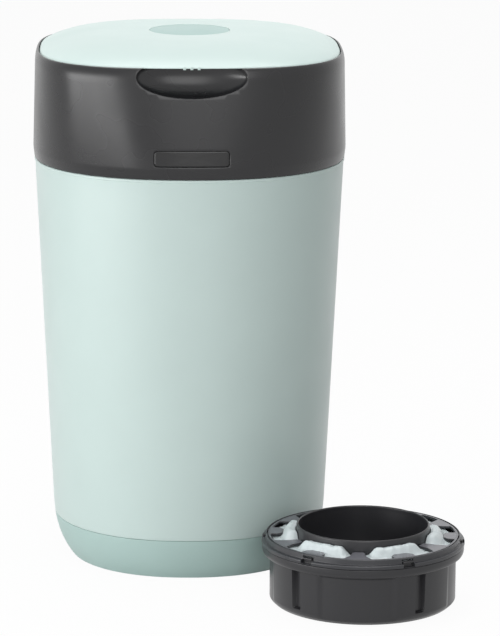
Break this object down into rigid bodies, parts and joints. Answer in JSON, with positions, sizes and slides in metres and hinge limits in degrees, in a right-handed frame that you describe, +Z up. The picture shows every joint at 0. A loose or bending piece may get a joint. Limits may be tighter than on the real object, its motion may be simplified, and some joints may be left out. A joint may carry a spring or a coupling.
{
  "type": "nappy bin",
  "caption": "Nappy bin with a lift-off head, hinged domed lid, film-twisting carousel, sprung gripping flaps, and a refill cassette standing beside it.",
  "frame": {"origin": "centre of the bin's base, on the floor", "axes": "+Z up; -Y is the front, with the finger scoop and the bare badge plate; the lid's hinge is at +Y"},
  "size_m": [0.3507, 0.3795, 0.4421],
  "materials": {
    "mint_plastic": "moulded, satin",
    "mint_base_plastic": "moulded, fine matt texture",
    "mint_inlay_plastic": "moulded, satin",
    "charcoal_plastic": "moulded, satin",
    "black_plate": "smooth",
    "grey_plastic": "moulded",
    "cassette_plastic": "moulded",
    "cap_plastic": "moulded",
    "film": "folded thin film",
    "rubber": "moulded",
    "steel": "drawn"
  },
  "bodies": {
    "tub": {"tub_shell": "mint_plastic", "base_cup": "mint_base_plastic"},
    "head": {"collar": "charcoal_plastic", "badge_plate": "black_plate", "deck": "grey_plastic", "chassis": "grey_plastic", "gripper_cage": "grey_plastic", "hinge_pin": "steel", "pawl_pin": "steel", "lid_seal": "rubber", "chassis_screw_1": "steel", "chassis_screw_2": "steel", "chassis_screw_3": "steel", "chassis_screw_4": "steel", "cage_screw_1": "steel", "cage_screw_2": "steel", "cage_screw_3": "steel", "cage_screw_4": "steel", "flap_pin_1": "steel", "flap_pin_2": "steel", "flap_pin_3": "steel", "flap_pin_4": "steel"},
    "lid": {"lid_panel": "mint_plastic", "lid_inlay": "mint_inlay_plastic", "lid_liner": "grey_plastic", "lid_screw_1": "steel", "lid_screw_2": "steel", "lid_screw_3": "steel", "lid_screw_4": "steel"},
    "carousel": {"carousel_cup": "charcoal_plastic", "twist_ring": "mint_plastic", "ratchet_ring": "grey_plastic"},
    "cutter": {"cutter_arm": "charcoal_plastic", "cutter_blade": "steel", "cutter_pin": "steel"},
    "pawl": {"pawl": "grey_plastic", "pawl_spring": "steel"},
    "flap_1": {"flap_1": "mint_plastic", "flap_spring_1": "steel"},
    "flap_2": {"flap_2": "mint_plastic", "flap_spring_2": "steel"},
    "flap_3": {"flap_3": "mint_plastic", "flap_spring_3": "steel"},
    "flap_4": {"flap_4": "mint_plastic", "flap_spring_4": "steel"},
    "cassette": {"cassette_drum": "cassette_plastic", "cassette_cap": "cap_plastic", "film_pack": "film"}
  },
  "joints": [
    {"name": "head_lift", "type": "slide", "parent": "tub", "child": "head", "axis": [0, 0, 1], "range_m": [0, 0.16]},
    {"name": "lid_hinge", "type": "hinge", "parent": "head", "child": "lid", "pos_m": [0, 0.1326, 0.426], "axis": [-1, 0, 0], "range_deg": [0, 105]},
    {"name": "twist", "type": "hinge", "parent": "head", "child": "carousel", "pos_m": [0, 0, 0.38], "axis": [0, 0, 1], "continuous": true},
    {"name": "cutter_swing", "type": "hinge", "parent": "carousel", "child": "cutter", "pos_m": [0.045, -0.07794, 0.399], "axis": [0, 0, 1], "range_deg": [0, 60]},
    {"name": "pawl_swing", "type": "hinge", "parent": "head", "child": "pawl", "pos_m": [-0.1103, -0.01945, 0.375], "axis": [0, 0, 1], "range_deg": [0, 10], "stiffness_Nm_per_rad": 0.01, "springref_deg": -11.46},
    {"name": "flap_swing_1", "type": "hinge", "parent": "head", "child": "flap_1", "pos_m": [0.06, 0, 0.33], "axis": [0, -1, 0], "range_deg": [0, 50], "stiffness_Nm_per_rad": 0.05, "springref_deg": -17.19},
    {"name": "flap_swing_2", "type": "hinge", "parent": "head", "child": "flap_2", "pos_m": [0, 0.06, 0.33], "axis": [1, 0, 0], "range_deg": [0, 50], "stiffness_Nm_per_rad": 0.05, "springref_deg": -17.19},
    {"name": "flap_swing_3", "type": "hinge", "parent": "head", "child": "flap_3", "pos_m": [-0.06, 0, 0.33], "axis": [0, 1, 0], "range_deg": [0, 50], "stiffness_Nm_per_rad": 0.05, "springref_deg": -17.19},
    {"name": "flap_swing_4", "type": "hinge", "parent": "head", "child": "flap_4", "pos_m": [0, -0.06, 0.33], "axis": [-1, 0, 0], "range_deg": [0, 50], "stiffness_Nm_per_rad": 0.05, "springref_deg": -17.19},
    {"name": "cassette_lift", "type": "slide", "parent": "tub", "child": "cassette", "axis": [0, 0, 1], "range_m": [0, 0.2]}
  ]
}
